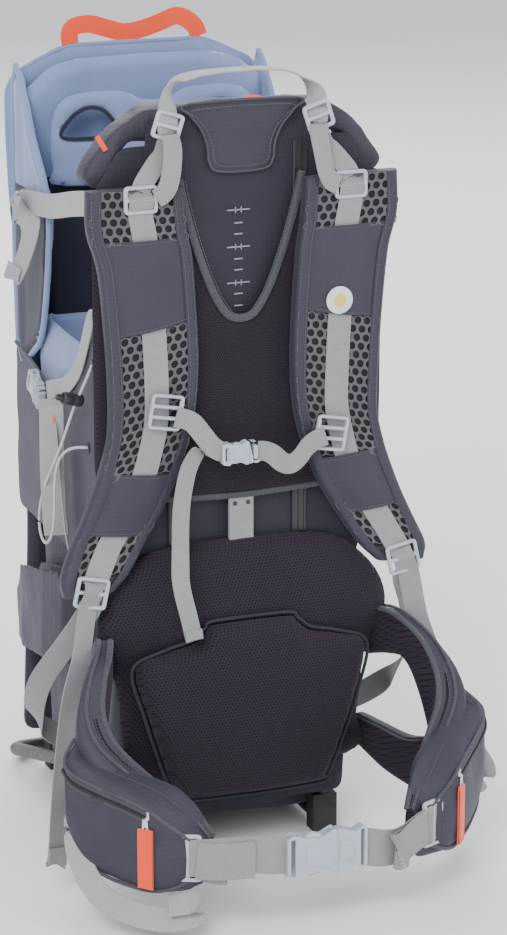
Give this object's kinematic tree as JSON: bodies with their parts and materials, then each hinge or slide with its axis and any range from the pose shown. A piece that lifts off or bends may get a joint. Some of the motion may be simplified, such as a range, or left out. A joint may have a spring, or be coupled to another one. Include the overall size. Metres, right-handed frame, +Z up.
{
  "type": "baby carrier backpack",
  "caption": "Framed backpack with a padded seat for a small child, padded shoulder straps, hip belt with zipped pockets and a folding kickstand.",
  "frame": {"origin": "middle of the carrier's width and depth, on the floor it stands on", "axes": "+Z up, -Y towards the wearer's back, +X to the right of someone looking at the harness"},
  "size_m": [0.4552, 0.5793, 0.823],
  "materials": {
    "aluminium_tube": "satin",
    "black_plastic": "matt",
    "buckle_plastic": "satin",
    "foot_rubber": "matt",
    "dark_ripstop": "matt",
    "dark_mesh": "matt",
    "black_binding": "matt",
    "seat_lining": "matt",
    "grey_webbing": "matt",
    "orange_webbing": "matt",
    "grey_cord": "matt",
    "spring_steel": "bright",
    "badge_print": "satin"
  },
  "bodies": {
    "pack": {"frame_front": "aluminium_tube", "frame_rear": "aluminium_tube", "base_rails": "aluminium_tube", "corner_feet": "black_plastic", "kickstand_pins": "spring_steel", "lower_compartment": "dark_ripstop", "rear_panel": "dark_ripstop", "side_panels": "dark_ripstop", "head_wings": "seat_lining", "side_pockets": "dark_mesh", "child_seat": "seat_lining", "child_back_pad": "seat_lining", "child_bib": "seat_lining", "harness_panel": "dark_ripstop", "back_length_rails": "black_plastic", "top_collar": "dark_ripstop", "collar_flap": "dark_ripstop", "upper_lumbar_pad": "dark_mesh", "lower_lumbar_pad": "dark_mesh", "hip_wings": "dark_ripstop", "hip_pockets": "dark_ripstop", "pocket_zips": "black_binding", "upper_ladderlocks": "buckle_plastic", "side_ladderlocks": "buckle_plastic", "waist_ladderlocks": "buckle_plastic", "lifter_straps": "grey_webbing", "anchor_straps": "grey_webbing", "waist_buckle_socket": "buckle_plastic", "waist_strap_left": "grey_webbing", "waist_strap_right": "grey_webbing", "leg_buckle_sockets": "buckle_plastic", "side_straps": "grey_webbing", "leg_straps": "grey_webbing", "grab_handle": "grey_webbing", "haul_handle": "orange_webbing", "draw_cord": "grey_cord", "cord_lock": "buckle_plastic", "cord_lock_spring": "spring_steel"},
    "kickstand": {"kickstand": "aluminium_tube", "kickstand_feet": "foot_rubber"},
    "yoke": {"yoke_pad": "dark_mesh", "shoulder_strap_left": "dark_ripstop", "shoulder_strap_right": "dark_ripstop", "strap_webbings": "grey_webbing", "strap_ladderlocks": "buckle_plastic", "pull_loop": "grey_webbing", "strap_badge": "badge_print", "strap_tails": "grey_webbing"},
    "chest_strap": {"chest_sliders": "buckle_plastic", "chest_strap_left": "grey_webbing", "chest_strap_right": "grey_webbing", "chest_buckle_socket": "buckle_plastic"},
    "chest_plug": {"chest_buckle_plug": "buckle_plastic"},
    "waist_plug": {"waist_buckle_plug": "buckle_plastic"},
    "leg_plug_left": {"leg_buckle_plug_left": "buckle_plastic"},
    "leg_plug_right": {"leg_buckle_plug_right": "buckle_plastic"},
    "zip_pull_left": {"zip_pull_left": "orange_webbing"},
    "zip_pull_right": {"zip_pull_right": "orange_webbing"},
    "cord_button": {"cord_lock_button": "buckle_plastic"}
  },
  "joints": [
    {"name": "kickstand_fold", "type": "hinge", "parent": "pack", "child": "kickstand", "pos_m": [0, 0.0653, 0.07], "axis": [1, 0, 0], "range_deg": [0, 34]},
    {"name": "back_length_slide", "type": "slide", "parent": "pack", "child": "yoke", "axis": [0, 0, 1], "range_m": [0, 0.035], "deforming": ["lifter_straps", "anchor_straps"]},
    {"name": "chest_strap_slide", "type": "slide", "parent": "yoke", "child": "chest_strap", "axis": [0, 0, 1], "range_m": [-0.03, 0.03]},
    {"name": "chest_buckle_release", "type": "slide", "parent": "chest_strap", "child": "chest_plug", "axis": [1, 0, 0], "range_m": [0, 0.018], "deforming": ["chest_strap_right"]},
    {"name": "waist_buckle_release", "type": "slide", "parent": "pack", "child": "waist_plug", "axis": [0.9994, 0.0349, 0], "range_m": [0, 0.028], "deforming": ["waist_strap_right"]},
    {"name": "leg_buckle_release_left", "type": "slide", "parent": "pack", "child": "leg_plug_left", "axis": [0, -0.8988, -0.4384], "range_m": [0, 0.017]},
    {"name": "leg_buckle_release_right", "type": "slide", "parent": "pack", "child": "leg_plug_right", "axis": [0, -0.8988, -0.4384], "range_m": [0, 0.017]},
    {"name": "zip_pull_swing_left", "type": "hinge", "parent": "pack", "child": "zip_pull_left", "pos_m": [-0.16561, -0.24328, 0.124], "axis": [-0.6414, 0.7672, 0], "range_deg": [0, 100]},
    {"name": "zip_pull_swing_right", "type": "hinge", "parent": "pack", "child": "zip_pull_right", "pos_m": [0.16561, -0.24328, 0.124], "axis": [-0.6414, -0.7672, 0], "range_deg": [0, 100]},
    {"name": "cord_lock_press", "type": "slide", "parent": "pack", "child": "cord_button", "axis": [0.9618, 0.0993, -0.2553], "range_m": [0, 0.003], "stiffness_N_per_m": 300, "springref_m": -0.002, "deforming": ["cord_lock_spring"]}
  ]
}
